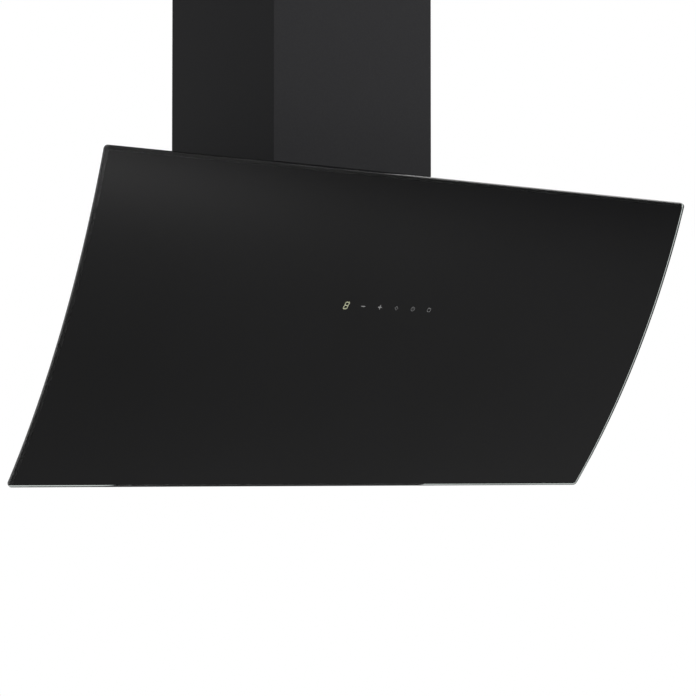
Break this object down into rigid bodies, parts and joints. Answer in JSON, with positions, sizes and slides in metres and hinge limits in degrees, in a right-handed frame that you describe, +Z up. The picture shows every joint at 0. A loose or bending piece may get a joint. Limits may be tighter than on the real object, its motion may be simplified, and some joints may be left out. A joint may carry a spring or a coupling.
{
  "type": "angled wall range hood",
  "caption": "Angled wall range hood: curved black glass door hinged at the top, tipping grease filters, blower with non-return flaps, lamps and a telescopic chimney cover.",
  "frame": {"origin": "on the wall plane, at the centre of the four wall fixing holes of the back plate", "axes": "+X to the right seen from the room, +Y into the wall, +Z up along the chimney"},
  "size_m": [0.9, 0.365, 0.9194],
  "materials": {
    "black_glass": "polished, enamelled black on the back",
    "black_paint": "fine matt powder coat",
    "zinc_steel": "galvanised",
    "hinge_steel": "satin",
    "bright_zinc": "zinc plated",
    "satin_metal": "satin",
    "filter_steel": "satin",
    "filter_mesh": "expanded metal layers",
    "motor_paint": "satin",
    "black_screw": "black zinc",
    "black_plastic": "matt",
    "grey_plastic": "matt",
    "white_plastic": "matt",
    "circuit_board": "solder mask",
    "bonding_foam": "matt",
    "lamp_lens": "frosted",
    "lit_digit": "lit",
    "symbol_print": "printed"
  },
  "bodies": {
    "hood": {"back_plate": "zinc_steel", "housing_shell": "black_paint", "housing_sides": "black_paint", "lamp_panel": "black_paint", "suction_tray": "black_paint", "housing_screws": "bright_zinc", "tray_screws": "bright_zinc", "lamp_bezel_left": "satin_metal", "lamp_bezel_right": "satin_metal", "lamp_lenses": "lamp_lens", "lamp_boards": "white_plastic", "blower_scroll": "zinc_steel", "scroll_cover": "zinc_steel", "blower_screws": "bright_zinc", "motor": "motor_paint", "motor_cradle": "zinc_steel", "capacitor": "white_plastic", "control_box": "white_plastic", "control_box_lid": "white_plastic", "power_board": "circuit_board", "terminal_block": "white_plastic", "cable_gland": "black_plastic", "outlet_collar": "black_plastic", "damper_pins": "bright_zinc", "chimney_lower": "black_paint", "chimney_clips": "zinc_steel", "chimney_screws": "black_screw", "hinge_leaf_body_left": "hinge_steel", "hinge_leaf_body_right": "hinge_steel", "hinge_pins": "bright_zinc", "hinge_screws": "bright_zinc", "catch_magnets": "black_plastic", "filter_hangers": "zinc_steel", "filter_magnets": "bright_zinc"},
    "glass_door": {"hinge_leaf_door_left": "hinge_steel", "hinge_leaf_door_right": "hinge_steel", "catch_plates": "bright_zinc", "glass_panel": "black_glass", "bonding_pads": "bonding_foam", "door_frame": "black_paint", "control_case": "black_plastic", "touch_board": "circuit_board", "sensor_springs": "bright_zinc", "display_module": "grey_plastic", "display_digit": "lit_digit", "touch_symbols": "symbol_print"},
    "filter_left": {"filter_frame_left": "filter_steel", "filter_mesh_left": "filter_mesh", "filter_pull_left": "satin_metal"},
    "filter_right": {"filter_frame_right": "filter_steel", "filter_mesh_right": "filter_mesh", "filter_pull_right": "satin_metal"},
    "fan": {"motor_shaft": "bright_zinc", "impeller_hub": "zinc_steel", "impeller_cage": "black_plastic"},
    "flap_front": {"damper_flap_front": "grey_plastic"},
    "flap_rear": {"damper_flap_rear": "grey_plastic"},
    "chimney_top": {"chimney_upper": "black_paint", "chimney_bracket": "zinc_steel", "bracket_screws": "black_screw"}
  },
  "joints": [
    {"name": "door_hinge", "type": "hinge", "parent": "hood", "child": "glass_door", "pos_m": [0, -0.33479, 0.11864], "axis": [-1, 0, 0], "range_deg": [0, 85]},
    {"name": "filter_tip_left", "type": "hinge", "parent": "hood", "child": "filter_left", "pos_m": [0, -0.26973, 0.08208], "axis": [-1, 0, 0], "range_deg": [0, 30]},
    {"name": "filter_tip_right", "type": "hinge", "parent": "hood", "child": "filter_right", "pos_m": [0, -0.26973, 0.08208], "axis": [-1, 0, 0], "range_deg": [0, 30]},
    {"name": "fan_spin", "type": "hinge", "parent": "hood", "child": "fan", "pos_m": [0, -0.084, 0.015], "axis": [1, 0, 0], "continuous": true},
    {"name": "flap_front_swing", "type": "hinge", "parent": "hood", "child": "flap_front", "pos_m": [0, -0.118, 0.189], "axis": [-1, 0, 0], "range_deg": [0, 78]},
    {"name": "flap_rear_swing", "type": "hinge", "parent": "hood", "child": "flap_rear", "pos_m": [0, -0.108, 0.189], "axis": [1, 0, 0], "range_deg": [0, 78]},
    {"name": "chimney_slide", "type": "slide", "parent": "hood", "child": "chimney_top", "axis": [0, 0, 1], "range_m": [-0.05, 0.24]}
  ],
  "couplings": [
    {"joint": "filter_tip_left", "follows": "door_hinge", "ratio": 0.35},
    {"joint": "filter_tip_right", "follows": "door_hinge", "ratio": 0.35}
  ]
}
